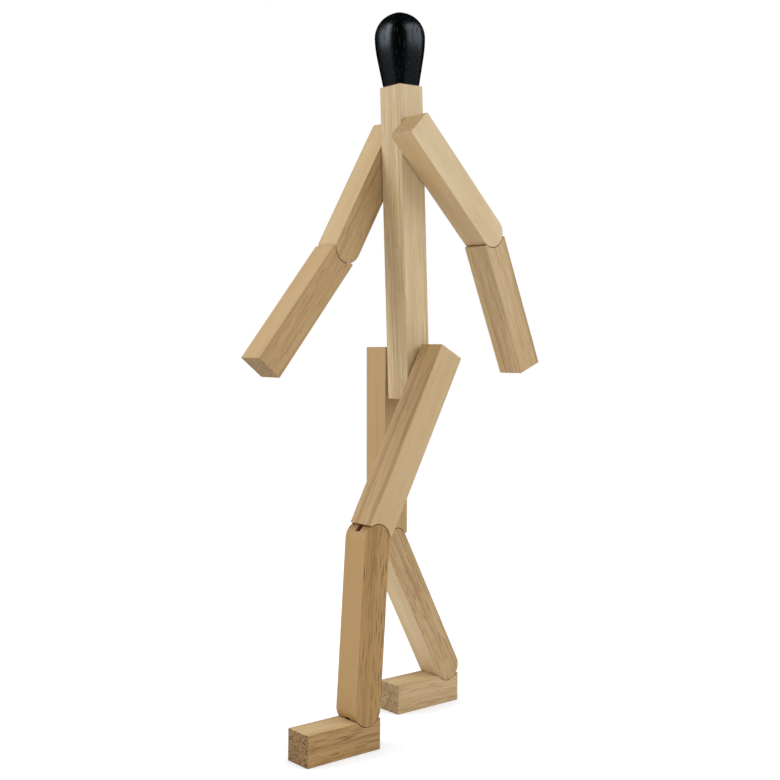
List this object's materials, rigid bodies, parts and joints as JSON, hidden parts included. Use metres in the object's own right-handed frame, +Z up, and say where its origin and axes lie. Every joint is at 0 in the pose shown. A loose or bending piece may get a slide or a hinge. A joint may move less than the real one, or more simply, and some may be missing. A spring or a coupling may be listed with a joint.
{
  "type": "wooden stickman figure",
  "caption": "Free-standing walking figure of square oak bars with a black-stained head; limbs turn at cupped joints held by hidden elastic cord, so it can be posed.",
  "frame": {"origin": "on the ground, under the middle of the figure's box", "axes": "+Z up, -Y the way the figure walks, +X its left side"},
  "size_m": [0.0644, 0.2084, 0.4721],
  "materials": {
    "oak": "oiled, satin",
    "stained_head": "black stain, satin",
    "beech": "bare",
    "elastic_cord": "woven over rubber, matte",
    "felt": "matte"
  },
  "bodies": {
    "torso": {"torso": "oak", "head": "stained_head", "neck_dowel": "beech", "shoulder_cord": "elastic_cord", "hip_cord": "elastic_cord", "left_hip_washer": "felt", "right_hip_washer": "felt"},
    "left_upper_arm": {"left_upper_arm": "oak", "left_shoulder_bush": "beech", "left_elbow_upper_bush": "beech", "left_elbow_cord": "elastic_cord"},
    "left_forearm": {"left_forearm": "oak", "left_elbow_lower_bush": "beech"},
    "left_thigh": {"left_thigh": "oak", "left_hip_bush": "beech", "left_knee_upper_bush": "beech"},
    "left_shin": {"left_shin": "oak", "left_knee_lower_bush": "beech", "left_knee_cord": "elastic_cord", "left_ankle_upper_bush": "beech", "left_ankle_cord": "elastic_cord"},
    "left_foot": {"left_foot": "oak", "left_ankle_lower_bush": "beech"},
    "right_upper_arm": {"right_upper_arm": "oak", "right_shoulder_bush": "beech", "right_elbow_upper_bush": "beech", "right_elbow_cord": "elastic_cord"},
    "right_forearm": {"right_forearm": "oak", "right_elbow_lower_bush": "beech"},
    "right_thigh": {"right_thigh": "oak", "right_hip_bush": "beech", "right_knee_upper_bush": "beech"},
    "right_shin": {"right_shin": "oak", "right_knee_lower_bush": "beech", "right_knee_cord": "elastic_cord", "right_ankle_upper_bush": "beech", "right_ankle_cord": "elastic_cord"},
    "right_foot": {"right_foot": "oak", "right_ankle_lower_bush": "beech"}
  },
  "joints": [
    {"name": "left_shoulder", "type": "hinge", "parent": "torso", "child": "left_upper_arm", "pos_m": [0.0206, 0.00115, 0.38294], "axis": [1, 0, 0], "range_deg": [-17, 98]},
    {"name": "left_elbow", "type": "hinge", "parent": "left_upper_arm", "child": "left_forearm", "pos_m": [0.0206, 0.05592, 0.33097], "axis": [-1, 0, 0], "range_deg": [-59.2, 12.8], "deforming": ["left_elbow_cord"]},
    {"name": "left_hip", "type": "hinge", "parent": "torso", "child": "left_thigh", "pos_m": [0.0222, 0.00913, 0.23326], "axis": [1, 0, 0], "range_deg": [-71, 78]},
    {"name": "left_knee", "type": "hinge", "parent": "left_thigh", "child": "left_shin", "pos_m": [0.0222, -0.04333, 0.13204], "axis": [1, 0, 0], "range_deg": [-60.3, 11.7], "deforming": ["left_knee_cord"]},
    {"name": "left_ankle", "type": "hinge", "parent": "left_shin", "child": "left_foot", "pos_m": [0.0222, -0.04908, 0.026], "axis": [1, 0, 0], "range_deg": [-39.1, 32.9], "deforming": ["left_ankle_cord"]},
    {"name": "right_shoulder", "type": "hinge", "parent": "torso", "child": "right_upper_arm", "pos_m": [-0.0206, 0.00115, 0.38294], "axis": [1, 0, 0], "range_deg": [-108, 23]},
    {"name": "right_elbow", "type": "hinge", "parent": "right_upper_arm", "child": "right_forearm", "pos_m": [-0.0206, -0.03522, 0.31678], "axis": [-1, 0, 0], "range_deg": [-45.3, 26.7], "deforming": ["right_elbow_cord"]},
    {"name": "right_hip", "type": "hinge", "parent": "torso", "child": "right_thigh", "pos_m": [-0.0222, 0.00913, 0.23326], "axis": [1, 0, 0], "range_deg": [-77, 58]},
    {"name": "right_knee", "type": "hinge", "parent": "right_thigh", "child": "right_shin", "pos_m": [-0.0222, 0.01092, 0.11927], "axis": [1, 0, 0], "range_deg": [-63.6, 8.3], "deforming": ["right_knee_cord"]},
    {"name": "right_ankle", "type": "hinge", "parent": "right_shin", "child": "right_foot", "pos_m": [-0.0222, 0.06171, 0.026], "axis": [1, 0, 0], "range_deg": [-7.4, 64.5], "deforming": ["right_ankle_cord"]}
  ]
}
